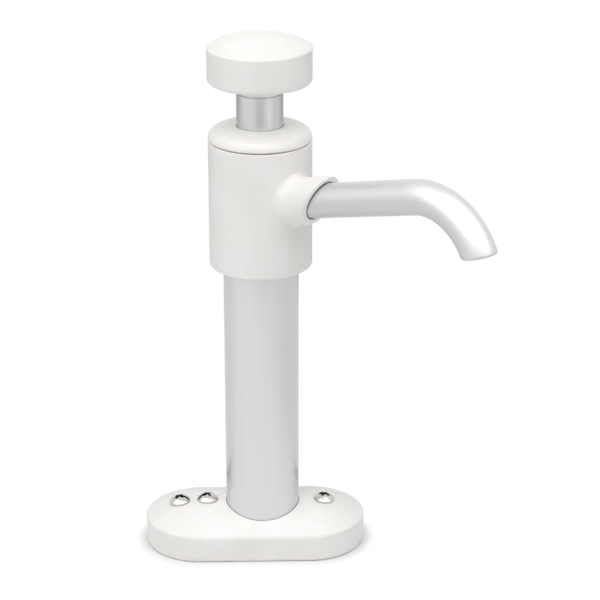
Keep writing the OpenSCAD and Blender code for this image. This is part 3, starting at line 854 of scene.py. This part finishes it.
def makeSpout(s, boss):
    deselectAll()
    bpy.ops.mesh.primitive_circle_add(vertices=s["sides"], radius=s["radius"] * mm, location=(0, 0, 0))
    piece = bpy.context.object
    piece.name = "spoutTube"
    piece.data.name = "spoutTube"
    openPiece(piece)
    bpy.ops.mesh.select_all(action="SELECT")
    bpy.ops.mesh.duplicate()
    inner = (s["radius"] - s["wall"]) / s["radius"]
    bpy.ops.transform.resize(value=(inner, inner, 1))
    bpy.ops.mesh.select_all(action="SELECT")
    bpy.ops.transform.translate(value=(0, 0, s["start"] * mm))
    step = (s["bendAt"] - s["start"]) / (s["runCuts"] + 1)
    for k in range(s["runCuts"] + 1):
        bpy.ops.mesh.extrude_region_move(TRANSFORM_OT_translate={"value": (0, 0, step * mm)})
    for steps, angle in ((s["bendSteps"], s["bend"] - s["rimOver"]), (1, s["rimOver"])):
        bpy.ops.mesh.spin(steps=steps, angle=math.radians(-angle), axis=(0, 1, 0),
                          center=(s["bendRadius"] * mm, 0, s["bendAt"] * mm))
    bpy.ops.mesh.bridge_edge_loops()
    pickVerts(piece, lambda p: p.z < s["start"] + pickSlack)
    bpy.ops.mesh.bridge_edge_loops()

    def beyond(p):
        # degrees past the start of the bend
        return math.degrees(math.atan2(p.z - s["bendAt"], s["bendRadius"] - p.x))

    def offAxis(p):
        return s["bendRadius"] - math.hypot(s["bendRadius"] - p.x, p.z - s["bendAt"])

    def onRim(p):
        atEnd = p.z > s["bendAt"] and beyond(p) > s["bend"] - s["rimSlack"]
        return atEnd and math.hypot(offAxis(p), p.y) > s["radius"] - s["rimSlack"]

    pickEdges(piece, lambda a, b: onRim(a) and onRim(b))
    bpy.ops.mesh.bevel(offset=s["rim"] * mm, segments=s["rimSegments"], affect="EDGES")

    # the last rings lean over, each a little more, until the mouth has its slant
    bendMiddle = Vector((s["bendRadius"], 0, s["bendAt"]))
    mesh = bmesh.from_edit_mesh(piece.data)
    for vert in mesh.verts:
        p = vert.co / mm
        share = (beyond(p) - s["bend"]) / s["cutOver"] + 1
        if p.z > s["bendAt"] and share > 0:
            ahead = -offAxis(p) * math.tan(math.radians(s["cut"])) * share
            lean = Matrix.Rotation(ahead / (s["bendRadius"] - offAxis(p)), 3, "Y")
            vert.co = (bendMiddle + lean @ (p - bendMiddle)) * mm
    bmesh.update_edit_mesh(piece.data)
    closePiece(piece, s["smoothAngle"])

    # a map in metres, round the tube and along it, for the die lines
    layer = piece.data.uv_layers.new(name="drawn")
    for face in piece.data.polygons:
        rounds = []
        for loop in face.loop_indices:
            p = piece.data.vertices[piece.data.loops[loop].vertex_index].co / mm
            past = p.z > s["bendAt"]
            sideways = offAxis(p) if past else p.x
            length = s["bendAt"] + s["bendRadius"] * math.radians(beyond(p)) if past else p.z
            rounds.append([math.atan2(p.y, -sideways), length])
        if max(r[0] for r in rounds) - min(r[0] for r in rounds) > math.pi:
            rounds = [[r[0] + 2 * math.pi if r[0] < 0 else r[0], r[1]] for r in rounds]
        for loop, (turn, length) in zip(face.loop_indices, rounds):
            layer.data[loop].uv = (turn * s["radius"] * mm, length * mm)
    placePiece(piece, (0, 0, boss["z"]), 90 - boss["rise"], boss["azimuth"])
    return piece


spout = makeSpout(spoutSizes, bossSizes)
# the spout's darker aluminium is painted shade
dressPiece(spout, spoutShadeAluminium, "head", "spout_tube")
print("spout bent")


# plunger: drawn tube with a groove for the ring above the piston
plungerSizes = {
    "radius": 9.7,
    "bore": 8.2,
    "foot": 59.9,
    "top": 213.049,
    "grooveLow": 63.625,
    "grooveHigh": 64.875,
    "groove": 0.5,
    "chamfer": 0.25,
    "neckLow": 204.77,
    "neckHigh": 205.77,
    "neck": 0.6,
    "neckRound": 0.1,
    "steps": 128,
}


def makePlunger(s):
    middle = (s["foot"] + s["top"]) / 2
    inGroove = s["radius"] - s["groove"]
    inNeck = s["radius"] - s["neck"]
    return turnPiece("plungerTube", [
        (s["bore"], middle, 0), (s["bore"], s["foot"], 0), (s["radius"], s["foot"], s["chamfer"]),
        (s["radius"], s["grooveLow"], 0), (inGroove, s["grooveLow"], 0), (inGroove, s["grooveHigh"], 0),
        (s["radius"], s["grooveHigh"], 0), (s["radius"], middle, 0),
        (s["radius"], s["neckLow"], s["neckRound"]), (inNeck, s["neckLow"], 0), (inNeck, s["neckHigh"], 0),
        (s["radius"], s["neckHigh"], 0), (s["radius"], s["top"], s["chamfer"]), (s["bore"], s["top"], 0),
        (s["bore"], middle, 0)], s["steps"])


plunger = makePlunger(plungerSizes)
dressPiece(plunger, slidingAluminium, "plunger", "plunger_tube")
print("plunger turned")


# knob: crowned palm knob with a small collar over the plunger
knobSizes = {
    "radius": 21.64,
    "bottom": 209.249,
    "top": 229.14,
    "rise": 5.2,
    "edge": 0.8,
    "foot": 1.9,
    "collarTop": 10.9,
    "collar": 10.4,
    "collarZ": 205.649,
    "collarGap": 10.02,     # thin dark line above the plunger
    "gapDepth": 1.2,
    "bore": 9.75,
    "boreTop": 213.049,
    "insert": 5.05,
    "insertTop": 221.049,
    "rootRound": 0.4,
    "collarEdge": 0.2,
    "gapEdge": 0.1,
    "topSteps": 20,
    "rollSteps": 8,
    "steps": 160,
}


def makeKnob(s):
    top = crownPoints(s["radius"], s["top"], s["rise"], s["edge"], 0, s["topSteps"], s["rollSteps"])
    gapTop = s["collarZ"] + s["gapDepth"]
    return turnPiece("palmKnob", [
        *top, (s["radius"], s["bottom"], s["foot"]), (s["collarTop"], s["bottom"], s["rootRound"]),
        (s["collar"], s["collarZ"], s["collarEdge"]), (s["collarGap"], s["collarZ"], s["gapEdge"]),
        (s["collarGap"], gapTop, 0), (s["bore"], gapTop, 0), (s["bore"], s["boreTop"], 0),
        (s["insert"], s["boreTop"], 0), (s["insert"], s["insertTop"], 0), (0, s["insertTop"], 0)],
        s["steps"])


knob = makeKnob(knobSizes)
dressPiece(knob, nylon, "plunger", "knob")
print("knob turned")


# stage: white paper that fades to plain white away from the base
stageLook = {
    "floorSize": 6,
    "floorZ": -0.05,        # mm
    "floor": "eaeaea",
    "rough": 0.9,
    "shine": 0.1,
    "middle": (-3.3, 0, 0),     # mm, the base's middle and half the length of its straight sides
    "straight": 23.8,
    "fadeFrom": 24.1,       # mm from the base's centre line
    "fadeTo": 29.5,
    "lift": 0.06,           # share of plain white beside the base
    "ambient": 0.19,        # the world's level, for what isn't seen or mirrored
}
deselectAll()
bpy.ops.mesh.primitive_plane_add(size=stageLook["floorSize"], location=(0, 0, 0))
floor = bpy.context.object
floor.name = "studioFloor"
floor.location.z = stageLook["floorZ"] * mm
bpy.ops.object.transform_apply(location=True, rotation=False, scale=False)


def anySeenRay(tree):
    # 1 for what the camera, a reflection or clear glass sees
    rays = addNode(tree, "ShaderNodeLightPath")
    shown = addNode(tree, "ShaderNodeMath", {
        0: rays.outputs["Is Camera Ray"], 1: rays.outputs["Is Glossy Ray"]}, operation="MAXIMUM")
    shown = addNode(tree, "ShaderNodeMath", {
        0: shown.outputs["Value"], 1: rays.outputs["Is Transmission Ray"]}, operation="MAXIMUM")
    return shown.outputs["Value"]


def whitePaper(look):
    material, tree, surface = startMaterial("whitePaper")
    surface.inputs["Base Color"].default_value = hexColour(look["floor"])
    surface.inputs["Roughness"].default_value = look["rough"]
    surface.inputs["Specular IOR Level"].default_value = look["shine"]
    spot = addNode(tree, "ShaderNodeTexCoord").outputs["Object"]
    fromMiddle = addNode(tree, "ShaderNodeVectorMath", {
        0: spot, 1: [v * mm for v in look["middle"]]}, operation="SUBTRACT")
    sides = addNode(tree, "ShaderNodeSeparateXYZ", {"Vector": fromMiddle.outputs["Vector"]})
    along = addNode(tree, "ShaderNodeMath", {0: sides.outputs["X"]}, operation="ABSOLUTE")
    along = addNode(tree, "ShaderNodeMath", {
        0: along.outputs["Value"], 1: look["straight"] * mm}, operation="SUBTRACT")
    along = addNode(tree, "ShaderNodeMath", {0: along.outputs["Value"], 1: 0}, operation="MAXIMUM")
    reach = addNode(tree, "ShaderNodeCombineXYZ", {"X": along.outputs["Value"], "Y": sides.outputs["Y"]})
    away = addNode(tree, "ShaderNodeVectorMath", {0: reach.outputs["Vector"]}, operation="LENGTH")
    fade = addNode(tree, "ShaderNodeMapRange", {
        "Value": away.outputs["Value"], "From Min": look["fadeFrom"] * mm, "From Max": look["fadeTo"] * mm},
        interpolation_type="SMOOTHSTEP")
    lift = addNode(tree, "ShaderNodeMapRange", {"Value": fade.outputs["Result"], "To Min": look["lift"]})
    shown = addNode(tree, "ShaderNodeMath", {
        0: lift.outputs["Result"], 1: anySeenRay(tree)}, operation="MULTIPLY")
    glow = addNode(tree, "ShaderNodeEmission", {"Color": (1, 1, 1, 1), "Strength": 1})
    mixed = addNode(tree, "ShaderNodeMixShader", {
        0: shown.outputs["Value"], 1: surface.outputs["BSDF"], 2: glow.outputs["Emission"]})
    tree.links.new(mixed.outputs["Shader"], tree.nodes["Material Output"].inputs["Surface"])
    return material


floor.data.materials.append(whitePaper(stageLook))

world = bpy.data.worlds.new("whiteStudio")
bpy.context.scene.world = world
world.use_nodes = True
air = world.node_tree
air.nodes.clear()
level = addNode(air, "ShaderNodeMapRange", {
    "Value": anySeenRay(air), "To Min": stageLook["ambient"], "To Max": 1})
sky = addNode(air, "ShaderNodeBackground", {"Color": (1, 1, 1, 1), "Strength": level.outputs["Result"]})
addNode(air, "ShaderNodeOutputWorld", {"Surface": sky.outputs["Background"]})

# soft boxes, in metres and watts; the one behind doesn't show in the metal
lampTarget = (0, 0, 0.12)
lampSizes = {
    "overhead": {"at": (0.3, -0.6, 3.0), "width": 2.2, "power": 14, "mirrored": True},
    "frontBox": {"at": (0, -1.7, 2.4), "width": 2.4, "power": 16, "mirrored": True},
    "leftBox": {"at": (-1.6, -1.0, 2.3), "width": 3.2, "power": 46, "mirrored": True},
    "rightBox": {"at": (1.6, -1.0, 2.3), "width": 2.8, "power": 27, "mirrored": True},
    "backBox": {"at": (0.2, 1.8, 2.4), "width": 2.2, "power": 12, "mirrored": False},
}
for lampName, lamp in lampSizes.items():
    deselectAll()
    aim = Vector(lampTarget) - Vector(lamp["at"])
    bpy.ops.object.light_add(type="AREA", location=lamp["at"],
                             rotation=aim.to_track_quat("-Z", "Y").to_euler())
    softbox = bpy.context.object
    softbox.name = lampName
    softbox.data.size = lamp["width"]
    softbox.data.energy = lamp["power"]
    softbox.visible_glossy = lamp["mirrored"]

# cards, in metres, that show only as reflections: the bands and edges of the metal, and the
# screws' dark arcs
cardSizes = {
    "nearPaper": {"size": (2.4, 0.3), "at": (0, 0.17, 0.001), "tilt": 0, "shade": "e6e6e6"},
    "farPaper": {"size": (2.4, 0.6), "at": (0, 0.62, 0.001), "tilt": 0, "shade": "b8b8b8"},
    "rightPaper": {"size": (0.9, 0.35), "at": (0.55, -0.155, 0.001), "tilt": 0, "shade": "e2e2e2"},
    "leftPaper": {"size": (0.9, 0.35), "at": (-0.55, -0.155, 0.001), "tilt": 0, "shade": "f8f8f8"},
    "frontPaper": {"size": (0.5, 0.5), "at": (0, -0.65, 0.001), "tilt": 0, "shade": "a0a0a0"},
    "edgePaper": {"size": (0.16, 0.2), "at": (0.1, 0.37, 0.002), "tilt": 0, "shade": "101010"},
    "longScrewCard": {"size": (0.021, 0.0056),
        "at": (-0.033, 0.0065, 0.0251), "tilt": 90, "shade": "0c0c0c"},
    "shortScrewCard": {"size": (0.0115, 0.0056),
        "at": (0.0285, 0.0065, 0.0251), "tilt": 90, "shade": "0c0c0c"},
}
for cardName, card in cardSizes.items():
    deselectAll()
    bpy.ops.mesh.primitive_plane_add(size=1, location=(0, 0, 0))
    flag = bpy.context.object
    flag.name = cardName
    flag.scale = (*card["size"], 1)
    flag.rotation_euler = (math.radians(card["tilt"]), 0, 0)
    flag.location = card["at"]
    bpy.ops.object.transform_apply(location=True, rotation=True, scale=True)
    cardPaper, cardTree, cardSurface = startMaterial(cardName)
    cardSurface.inputs["Base Color"].default_value = (0, 0, 0, 1)
    cardSurface.inputs["Specular IOR Level"].default_value = 0
    cardSurface.inputs["Emission Color"].default_value = hexColour(card["shade"])
    cardSurface.inputs["Emission Strength"].default_value = 1
    flag.data.materials.append(cardPaper)
    flag.visible_camera = False
    flag.visible_diffuse = False
    flag.visible_shadow = False

# camera: a long lens a little above the head
cameraPlace = {"at": (-4.12, -862.51, 461.41), "to": (16.5, 0, 112.83), "lens": 131.31, "sensor": 36}
deselectAll()
aim = Vector(cameraPlace["to"]) - Vector(cameraPlace["at"])
bpy.ops.object.camera_add(location=Vector(cameraPlace["at"]) * mm,
                          rotation=aim.to_track_quat("-Z", "Y").to_euler())
camera = bpy.context.object
camera.data.lens = cameraPlace["lens"]
camera.data.sensor_width = cameraPlace["sensor"]
bpy.context.scene.camera = camera
bpy.context.scene.view_settings.view_transform = "Standard"
print("stage, lamps and camera set")
